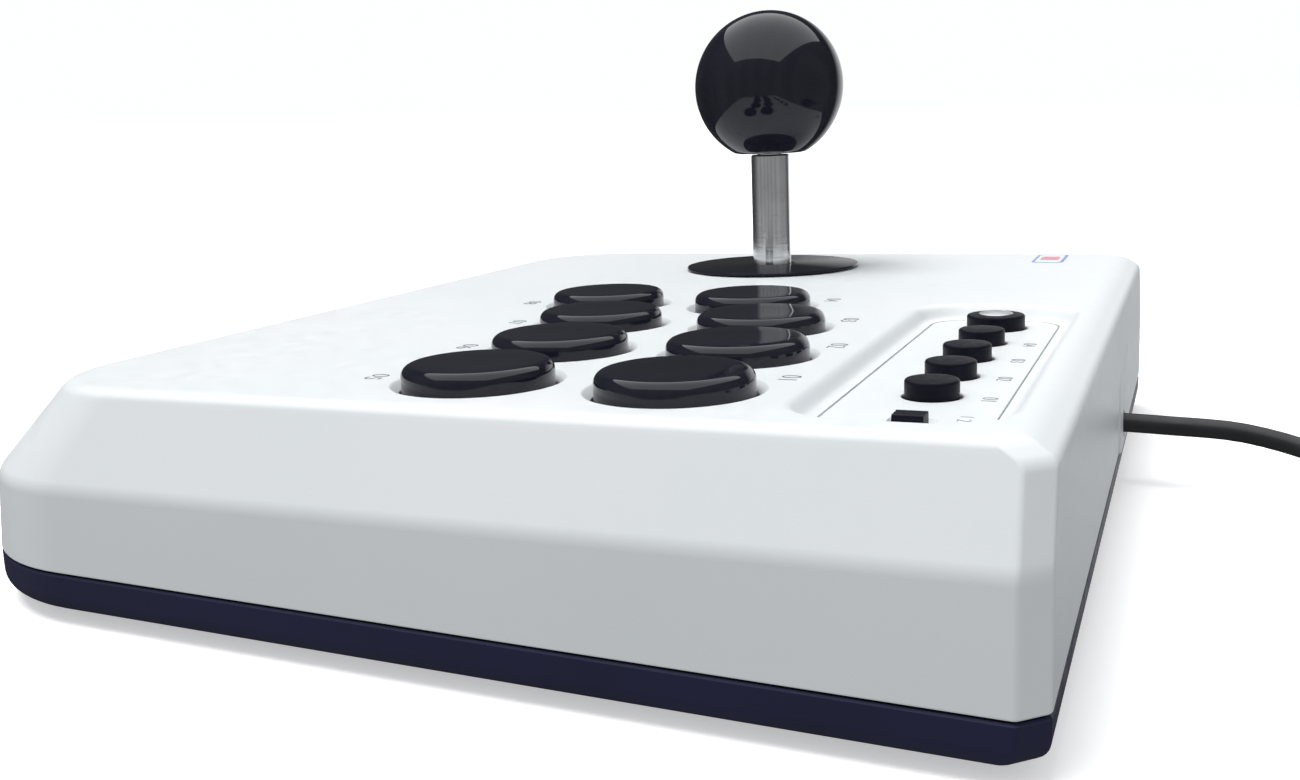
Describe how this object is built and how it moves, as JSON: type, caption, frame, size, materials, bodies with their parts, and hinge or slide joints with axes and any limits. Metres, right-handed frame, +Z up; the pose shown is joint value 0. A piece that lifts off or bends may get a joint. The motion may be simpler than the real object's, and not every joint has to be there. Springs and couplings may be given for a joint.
{
  "type": "arcade joystick panel",
  "caption": "Compact arcade joystick panel: a wedge-topped case with a ball-top lever, round push buttons on an arc, a recessed function row and a coiled cable with its plug.",
  "frame": {"origin": "on the table, under the middle of the case's bounding box, the cord left out", "axes": "+X to the player's right, along the case's longest side; +Y towards the back, where the cord leaves; +Z up"},
  "size_m": [0.217, 0.3182, 0.1001],
  "materials": {
    "white_shell": "fine satin texture, very pale cool grey",
    "navy_shell": "satin navy black",
    "gloss_black": "polished blue black",
    "matte_black": "matt navy black",
    "steel": "polished bar",
    "nickel": "bright nickel plate",
    "grey_nylon": "moulded, matt",
    "acetal": "natural, slightly waxy",
    "rubber": "soft matt black",
    "silicone": "translucent grey silicone",
    "circuit_board": "green solder mask"
  },
  "bodies": {
    "case": {"top_shell": "white_shell", "function_panel": "white_shell", "bottom_shell": "navy_shell", "main_pcb": "circuit_board", "function_pcb": "circuit_board", "lever_pcb": "circuit_board", "function_mat": "silicone", "lever_housing": "grey_nylon", "restrictor_gate": "grey_nylon", "mode_switch": "nickel", "cord": "rubber", "cord_bush": "rubber", "cord_coil": "rubber", "plug_grip": "rubber", "plug_shell": "nickel", "foot_1": "rubber", "lever_switch_1": "matte_black", "foot_2": "rubber", "lever_switch_2": "matte_black", "foot_3": "rubber", "lever_switch_3": "matte_black", "foot_4": "rubber", "lever_switch_4": "matte_black", "case_screw_1": "steel", "case_screw_2": "steel", "case_screw_3": "steel", "case_screw_4": "steel", "case_screw_5": "steel", "case_screw_6": "steel", "button_dome_1": "silicone", "button_dome_2": "silicone", "button_dome_3": "silicone", "button_dome_4": "silicone", "button_dome_5": "silicone", "button_dome_6": "silicone", "button_dome_7": "silicone", "button_dome_8": "silicone"},
    "gimbal": {"gimbal_ring": "acetal"},
    "lever": {"lever_shaft": "steel", "ball_top": "gloss_black", "spring_collar": "acetal", "centring_spring": "steel", "lever_actuator": "acetal", "retaining_clip": "steel"},
    "dust_shutter": {"dust_shutter": "matte_black"},
    "dust_washer": {"dust_washer": "gloss_black"},
    "mode_knob": {"mode_knob": "matte_black"},
    "start_button": {"start_button": "matte_black"},
    "button_1": {"button_1": "gloss_black"},
    "button_2": {"button_2": "gloss_black"},
    "button_3": {"button_3": "gloss_black"},
    "button_4": {"button_4": "gloss_black"},
    "button_5": {"button_5": "gloss_black"},
    "button_6": {"button_6": "gloss_black"},
    "button_7": {"button_7": "gloss_black"},
    "button_8": {"button_8": "gloss_black"},
    "function_button_1": {"function_button_1": "matte_black"},
    "function_button_2": {"function_button_2": "matte_black"},
    "function_button_3": {"function_button_3": "matte_black"},
    "function_button_4": {"function_button_4": "matte_black"}
  },
  "joints": [
    {"name": "lever_tilt_front_back", "type": "hinge", "parent": "case", "child": "gimbal", "pos_m": [-0.0656, 0.00083, 0.02532], "axis": [1, 0, 0], "range_deg": [-9, 9], "stiffness_Nm_per_rad": 0.2},
    {"name": "lever_tilt_left_right", "type": "hinge", "parent": "gimbal", "child": "lever", "pos_m": [-0.0656, 0.00083, 0.02532], "axis": [0, 0.9997, 0.0262], "range_deg": [-9, 9], "stiffness_Nm_per_rad": 0.2},
    {"name": "shutter_slide", "type": "slide", "parent": "case", "child": "dust_shutter", "axis": [0, 0.9997, 0.0262], "range_m": [-0.00215, 0.00215]},
    {"name": "washer_slide", "type": "slide", "parent": "dust_shutter", "child": "dust_washer", "axis": [1, 0, 0], "range_m": [-0.00215, 0.00215]},
    {"name": "button_1_press", "type": "slide", "parent": "case", "child": "button_1", "axis": [0, 0.0262, -0.9997], "range_m": [0, 0.002], "stiffness_N_per_m": 250, "springref_m": -0.001, "deforming": ["button_dome_1"]},
    {"name": "button_2_press", "type": "slide", "parent": "case", "child": "button_2", "axis": [0, 0.0262, -0.9997], "range_m": [0, 0.002], "stiffness_N_per_m": 250, "springref_m": -0.001, "deforming": ["button_dome_2"]},
    {"name": "button_3_press", "type": "slide", "parent": "case", "child": "button_3", "axis": [0, 0.0262, -0.9997], "range_m": [0, 0.002], "stiffness_N_per_m": 250, "springref_m": -0.001, "deforming": ["button_dome_3"]},
    {"name": "button_4_press", "type": "slide", "parent": "case", "child": "button_4", "axis": [0, 0.0262, -0.9997], "range_m": [0, 0.002], "stiffness_N_per_m": 250, "springref_m": -0.001, "deforming": ["button_dome_4"]},
    {"name": "button_5_press", "type": "slide", "parent": "case", "child": "button_5", "axis": [0, 0.0262, -0.9997], "range_m": [0, 0.002], "stiffness_N_per_m": 250, "springref_m": -0.001, "deforming": ["button_dome_5"]},
    {"name": "button_6_press", "type": "slide", "parent": "case", "child": "button_6", "axis": [0, 0.0262, -0.9997], "range_m": [0, 0.002], "stiffness_N_per_m": 250, "springref_m": -0.001, "deforming": ["button_dome_6"]},
    {"name": "button_7_press", "type": "slide", "parent": "case", "child": "button_7", "axis": [0, 0.0262, -0.9997], "range_m": [0, 0.002], "stiffness_N_per_m": 250, "springref_m": -0.001, "deforming": ["button_dome_7"]},
    {"name": "button_8_press", "type": "slide", "parent": "case", "child": "button_8", "axis": [0, 0.0262, -0.9997], "range_m": [0, 0.002], "stiffness_N_per_m": 250, "springref_m": -0.001, "deforming": ["button_dome_8"]},
    {"name": "function_button_1_press", "type": "slide", "parent": "case", "child": "function_button_1", "axis": [0, 0.0262, -0.9997], "range_m": [0, 0.0008], "stiffness_N_per_m": 400, "springref_m": -0.0008},
    {"name": "function_button_2_press", "type": "slide", "parent": "case", "child": "function_button_2", "axis": [0, 0.0262, -0.9997], "range_m": [0, 0.0008], "stiffness_N_per_m": 400, "springref_m": -0.0008},
    {"name": "function_button_3_press", "type": "slide", "parent": "case", "child": "function_button_3", "axis": [0, 0.0262, -0.9997], "range_m": [0, 0.0008], "stiffness_N_per_m": 400, "springref_m": -0.0008},
    {"name": "function_button_4_press", "type": "slide", "parent": "case", "child": "function_button_4", "axis": [0, 0.0262, -0.9997], "range_m": [0, 0.0008], "stiffness_N_per_m": 400, "springref_m": -0.0008},
    {"name": "start_button_press", "type": "slide", "parent": "case", "child": "start_button", "axis": [0, 0.0262, -0.9997], "range_m": [0, 0.0008], "stiffness_N_per_m": 400, "springref_m": -0.0008},
    {"name": "mode_slide", "type": "slide", "parent": "case", "child": "mode_knob", "axis": [1, 0, 0], "range_m": [0, 0.003]}
  ],
  "couplings": [
    {"joint": "shutter_slide", "follows": "lever_tilt_front_back", "m_per_rad": -0.0134},
    {"joint": "washer_slide", "follows": "lever_tilt_left_right", "m_per_rad": 0.0134}
  ]
}
